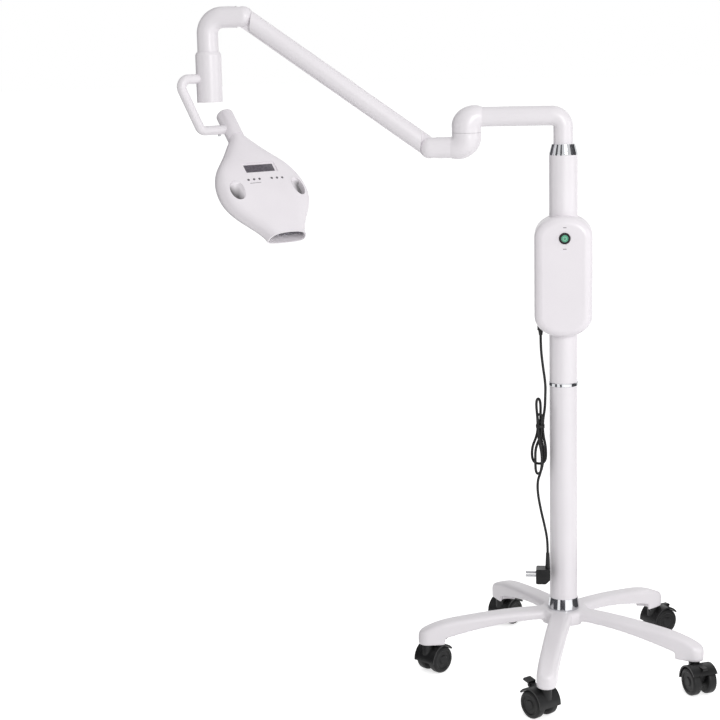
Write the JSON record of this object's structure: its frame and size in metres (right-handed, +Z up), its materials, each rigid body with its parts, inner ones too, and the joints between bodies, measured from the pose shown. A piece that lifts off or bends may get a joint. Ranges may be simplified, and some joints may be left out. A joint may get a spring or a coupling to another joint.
{
  "type": "teeth whitening lamp",
  "caption": "Floor-standing teeth whitening lamp: wheeled star base, column with supply box, jointed spring arm and a tilting lamp head with display and keys.",
  "frame": {"origin": "on the floor under the column's axis", "axes": "+Z up along the column, the arm reaches to -X, the switch side of the supply box faces -Y"},
  "size_m": [0.9568, 0.5501, 1.2273],
  "materials": {
    "white_enamel": "satin enamel",
    "white_plastic": "smooth moulded",
    "chrome": "polished plate",
    "steel": "zinc plated",
    "board": "varnished board",
    "black_plastic": "moulded",
    "black_tread": "hard tread",
    "button_green": "lit cap",
    "lead_black": "flexible jacket",
    "display": "dark window",
    "clear_lens": "clear",
    "aluminium": "extruded",
    "key_grey": "moulded"
  },
  "bodies": {
    "stand": {"star_base": "white_enamel", "base_collar": "chrome", "hub_bolt": "steel", "lower_column": "white_enamel", "column_joiner": "steel", "mid_ring": "chrome", "upper_column": "white_enamel", "box_front": "white_plastic", "box_back": "white_plastic", "supply_board": "board", "box_screws": "steel", "switch_bezel": "black_plastic", "cord_gland": "lead_black", "cord_upper": "lead_black", "cord_hank": "lead_black", "cord_lower": "lead_black", "plug": "lead_black", "plug_pins": "chrome", "top_collar": "chrome", "caster_stems": "steel"},
    "switch": {"switch_button": "button_green"},
    "caster_1": {"caster_hood_1": "black_plastic"},
    "wheels_1": {"caster_wheels_1": "black_tread"},
    "caster_2": {"caster_hood_2": "black_plastic"},
    "wheels_2": {"caster_wheels_2": "black_tread"},
    "caster_3": {"caster_hood_3": "black_plastic"},
    "wheels_3": {"caster_wheels_3": "black_tread"},
    "caster_4": {"caster_hood_4": "black_plastic"},
    "wheels_4": {"caster_wheels_4": "black_tread"},
    "caster_5": {"caster_hood_5": "black_plastic"},
    "wheels_5": {"caster_wheels_5": "black_tread"},
    "lever_1": {"brake_lever_1": "black_plastic"},
    "lever_2": {"brake_lever_2": "black_plastic"},
    "lower_arm": {"lower_arm_tube": "white_enamel", "upper_knuckle": "white_enamel", "knuckle_pin": "steel"},
    "swivel_knuckle": {"lower_knuckle": "white_enamel", "lower_hinge_pin": "steel"},
    "spring_link": {"spring_arm": "white_enamel", "arm_spring": "steel", "tie_rod": "steel"},
    "elbow": {"end_elbow": "white_enamel", "upper_hinge_pin": "steel", "swivel_pin": "steel"},
    "sleeve": {"swivel_sleeve": "white_enamel", "yoke": "white_enamel"},
    "head": {"head_front_shell": "white_plastic", "head_back_shell": "white_plastic", "display_window": "display", "control_board": "board", "led_board": "board", "outlet_lens": "clear_lens", "heat_sink": "aluminium", "head_screws": "steel"},
    "key_1_body": {"key_1": "key_grey"},
    "key_2_body": {"key_2": "key_grey"},
    "key_3_body": {"key_3": "key_grey"},
    "key_4_body": {"key_4": "key_grey"},
    "key_5_body": {"key_5": "key_grey"},
    "key_6_body": {"key_6": "key_grey"}
  },
  "joints": [
    {"name": "switch_press", "type": "slide", "parent": "stand", "child": "switch", "axis": [0, 1, 0], "range_m": [0, 0.002], "stiffness_N_per_m": 300},
    {"name": "caster_swivel_1", "type": "hinge", "parent": "stand", "child": "caster_1", "pos_m": [-0.02987, -0.25425, 0.05], "axis": [0, 0, 1], "continuous": true},
    {"name": "wheel_roll_1", "type": "hinge", "parent": "caster_1", "child": "wheels_1", "pos_m": [-0.04214, -0.24109, 0.025], "axis": [0.7314, 0.682, 0], "continuous": true},
    {"name": "caster_swivel_2", "type": "hinge", "parent": "stand", "child": "caster_2", "pos_m": [0.23258, -0.10697, 0.05], "axis": [0, 0, 1], "continuous": true},
    {"name": "wheel_roll_2", "type": "hinge", "parent": "caster_2", "child": "wheels_2", "pos_m": [0.24033, -0.12322, 0.025], "axis": [-0.9026, -0.4305, 0], "continuous": true},
    {"name": "caster_swivel_3", "type": "hinge", "parent": "stand", "child": "caster_3", "pos_m": [0.17361, 0.18814, 0.05], "axis": [0, 0, 1], "continuous": true},
    {"name": "wheel_roll_3", "type": "hinge", "parent": "caster_3", "child": "wheels_3", "pos_m": [0.188, 0.19895, 0.025], "axis": [0.6004, -0.7997, 0], "continuous": true},
    {"name": "caster_swivel_4", "type": "hinge", "parent": "stand", "child": "caster_4", "pos_m": [-0.12528, 0.22325, 0.05], "axis": [0, 0, 1], "continuous": true},
    {"name": "wheel_roll_4", "type": "hinge", "parent": "caster_4", "child": "wheels_4", "pos_m": [-0.11447, 0.23764, 0.025], "axis": [0.7997, -0.6004, 0], "continuous": true},
    {"name": "caster_swivel_5", "type": "hinge", "parent": "stand", "child": "caster_5", "pos_m": [-0.25104, -0.05016, 0.05], "axis": [0, 0, 1], "continuous": true},
    {"name": "wheel_roll_5", "type": "hinge", "parent": "caster_5", "child": "wheels_5", "pos_m": [-0.23988, -0.03604, 0.025], "axis": [0.7848, -0.6198, 0], "continuous": true},
    {"name": "brake_1", "type": "hinge", "parent": "caster_1", "child": "lever_1", "pos_m": [-0.05521, -0.22707, 0.05137], "axis": [0.7314, 0.682, 0], "range_deg": [-18, 0]},
    {"name": "brake_2", "type": "hinge", "parent": "caster_5", "child": "lever_2", "pos_m": [-0.22801, -0.021, 0.05137], "axis": [0.7848, -0.6198, 0], "range_deg": [-18, 0]},
    {"name": "arm_turn", "type": "hinge", "parent": "stand", "child": "lower_arm", "pos_m": [0, 0, 0.96], "axis": [0, 0, 1], "range_deg": [-170, 170]},
    {"name": "knuckle_turn", "type": "hinge", "parent": "lower_arm", "child": "swivel_knuckle", "pos_m": [-0.1712, 0, 0.996], "axis": [0, 0, 1], "range_deg": [-100, 100]},
    {"name": "arm_lift", "type": "hinge", "parent": "swivel_knuckle", "child": "spring_link", "pos_m": [-0.2364, 0, 0.9705], "axis": [0, 1, 0], "range_deg": [-55, 22]},
    {"name": "end_level", "type": "hinge", "parent": "spring_link", "child": "elbow", "pos_m": [-0.56741, 0, 1.20835], "axis": [0, 1, 0], "range_deg": [-22, 55]},
    {"name": "sleeve_turn", "type": "hinge", "parent": "elbow", "child": "sleeve", "pos_m": [-0.63321, 0, 1.116], "axis": [0, 0, 1], "range_deg": [-170, 170]},
    {"name": "head_tilt", "type": "hinge", "parent": "sleeve", "child": "head", "pos_m": [-0.60103, 0.027, 1.008], "axis": [0.766, 0.6428, 0], "range_deg": [-50, 60]},
    {"name": "key_press_1", "type": "slide", "parent": "head", "child": "key_1_body", "axis": [-0.4577, 0.5454, -0.7022], "range_m": [0, 0.0005], "stiffness_N_per_m": 200},
    {"name": "key_press_2", "type": "slide", "parent": "head", "child": "key_2_body", "axis": [-0.4577, 0.5454, -0.7022], "range_m": [0, 0.0005], "stiffness_N_per_m": 200},
    {"name": "key_press_3", "type": "slide", "parent": "head", "child": "key_3_body", "axis": [-0.4577, 0.5454, -0.7022], "range_m": [0, 0.0005], "stiffness_N_per_m": 200},
    {"name": "key_press_4", "type": "slide", "parent": "head", "child": "key_4_body", "axis": [-0.4577, 0.5454, -0.7022], "range_m": [0, 0.0005], "stiffness_N_per_m": 200},
    {"name": "key_press_5", "type": "slide", "parent": "head", "child": "key_5_body", "axis": [-0.4577, 0.5454, -0.7022], "range_m": [0, 0.0005], "stiffness_N_per_m": 200},
    {"name": "key_press_6", "type": "slide", "parent": "head", "child": "key_6_body", "axis": [-0.4577, 0.5454, -0.7022], "range_m": [0, 0.0005], "stiffness_N_per_m": 200}
  ],
  "couplings": [
    {"joint": "end_level", "follows": "arm_lift", "ratio": -1}
  ]
}
